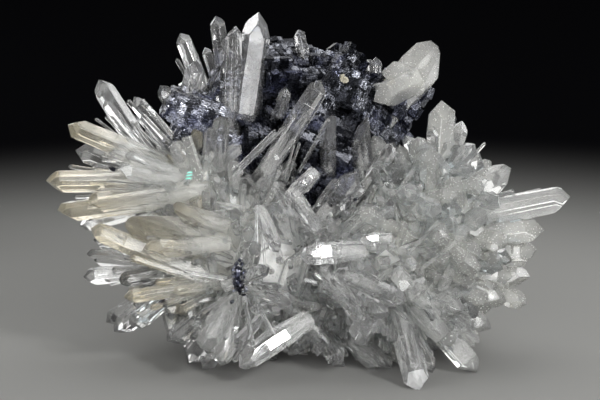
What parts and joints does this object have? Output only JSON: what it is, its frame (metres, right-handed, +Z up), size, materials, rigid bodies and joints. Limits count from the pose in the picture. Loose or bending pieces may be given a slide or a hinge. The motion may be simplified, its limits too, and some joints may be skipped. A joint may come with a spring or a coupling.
{
  "type": "galena with quartz crystals, a mineral specimen",
  "caption": "Craggy lead-grey galena mass overgrown by radiating clear to milky quartz points, free-standing on its own crystal base.",
  "frame": {"origin": "middle of the footprint, on the surface that the specimen rests on", "axes": "+X to the right along the display side, +Y to the back, +Z up; the display side faces -Y"},
  "size_m": [0.1314, 0.0842, 0.0871],
  "materials": {
    "galena": "natural galena: metallic lead-grey stepped cleavage with a blue-violet tarnish, glittering",
    "milky_quartz": "natural quartz: glassy faces, cloudy at the root and clearing towards the tips, some iron-stained cream",
    "clear_quartz": "natural rock crystal: glassy faces with fine cross striations, see-through at the tip, hazy at the root",
    "carbonate": "natural carbonate grain: dull cream, finely rough"
  },
  "bodies": {
    "root": {"galena": "galena", "quartz_cluster": "milky_quartz", "quartz_crest_pair": "clear_quartz", "quartz_point_left_tall": "clear_quartz", "quartz_point_left_outer": "clear_quartz", "quartz_point_left_stub": "clear_quartz", "quartz_point_left_low": "clear_quartz", "quartz_point_left_sliver": "clear_quartz", "quartz_point_summit": "clear_quartz", "quartz_block_right": "clear_quartz", "quartz_point_right_low": "clear_quartz", "quartz_point_right_stub": "clear_quartz", "quartz_point_right_small": "clear_quartz", "quartz_point_centre_small": "clear_quartz", "quartz_block_centre": "clear_quartz", "quartz_block_low": "clear_quartz", "quartz_point_front": "clear_quartz", "quartz_point_back_left": "clear_quartz", "quartz_point_back_right": "clear_quartz", "quartz_point_back_middle": "clear_quartz", "carbonate_grain_middle": "carbonate", "carbonate_grain_right": "carbonate"}
  },
  "joints": []
}
